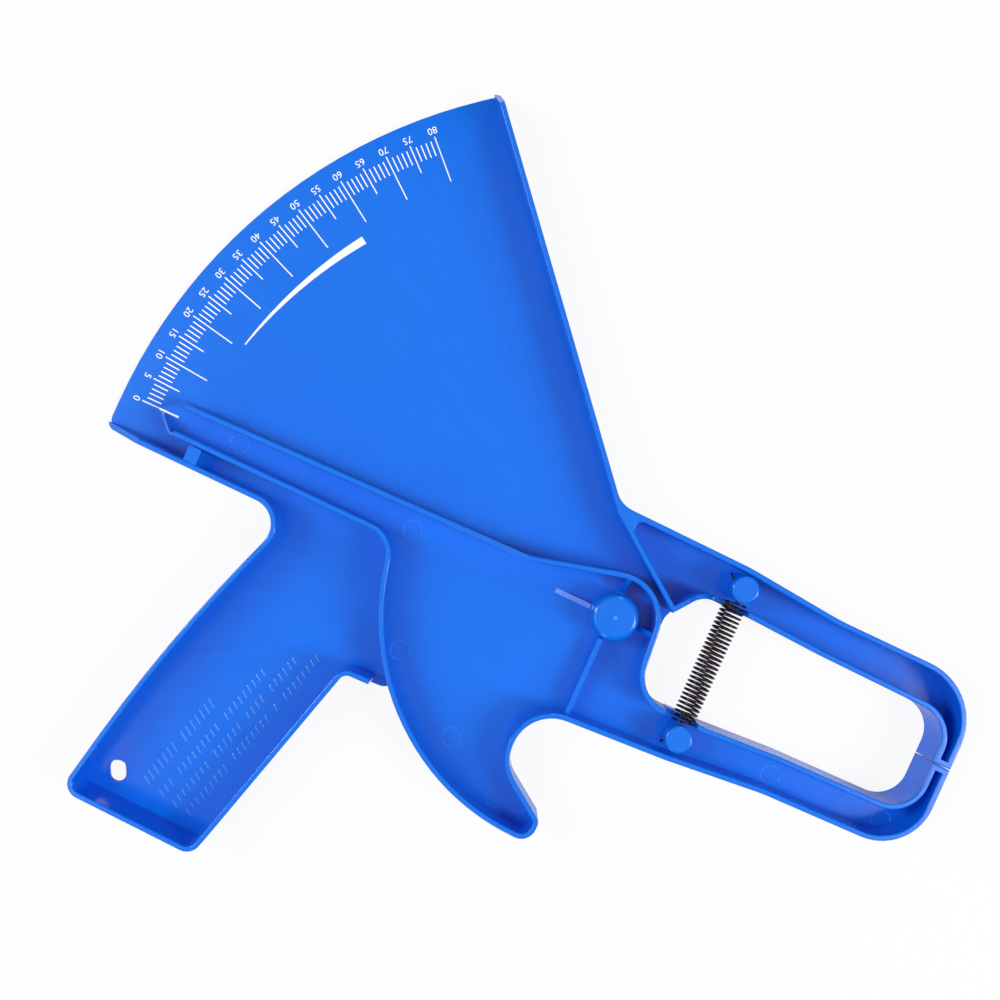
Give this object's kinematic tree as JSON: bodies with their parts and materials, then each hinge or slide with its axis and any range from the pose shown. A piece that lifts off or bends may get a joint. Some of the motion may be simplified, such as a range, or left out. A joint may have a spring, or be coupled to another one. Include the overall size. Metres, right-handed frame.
{
  "type": "skinfold caliper",
  "caption": "Plastic skinfold caliper: sector plate with a printed millimetre scale, pistol handle and fixed jaw, and a sprung lever that is pointer, trigger and moving jaw in one.",
  "frame": {"origin": "on the pivot axis, in the plane of the flat back", "axes": "+X from the pivot to the jaw pads, +Y towards the scale sector, +Z out of the open side of the mouldings; the caliper lies on its back"},
  "size_m": [0.268, 0.2404, 0.016],
  "materials": {
    "blue_plastic": "glossy moulded",
    "spring_steel": "dark wire",
    "white_print": "printed ink"
  },
  "bodies": {
    "frame": {"frame_body": "blue_plastic", "pivot_pin": "blue_plastic", "pivot_cap": "blue_plastic", "upper_spring_pin": "blue_plastic", "scale_marks": "white_print", "range_wedge": "white_print"},
    "lever": {"lever": "blue_plastic", "lower_spring_pin": "blue_plastic", "index_line": "white_print"},
    "spring_upper": {"extension_spring": "spring_steel"},
    "spring_lower": {"spring_lower_hook": "spring_steel"}
  },
  "joints": [
    {"name": "lever_pivot", "type": "hinge", "parent": "frame", "child": "lever", "pos_m": [0, 0, 0.005], "axis": [0, 0, -1], "range_deg": [0, 50], "stiffness_Nm_per_rad": 0.1, "springref_deg": -143.24},
    {"name": "spring_turn", "type": "hinge", "parent": "frame", "child": "spring_upper", "pos_m": [0.0312, 0.0231, 0.01], "axis": [0, 0, -1], "range_deg": [0, 26]},
    {"name": "spring_stretch", "type": "slide", "parent": "spring_upper", "child": "spring_lower", "axis": [0.0063, -1, 0], "range_m": [0, 0.023], "deforming": ["spring_lower_hook", "extension_spring"]}
  ],
  "couplings": [
    {"joint": "spring_turn", "follows": "lever_pivot", "ratio": 0.5134},
    {"joint": "spring_stretch", "follows": "lever_pivot", "m_per_rad": 0.0259}
  ]
}
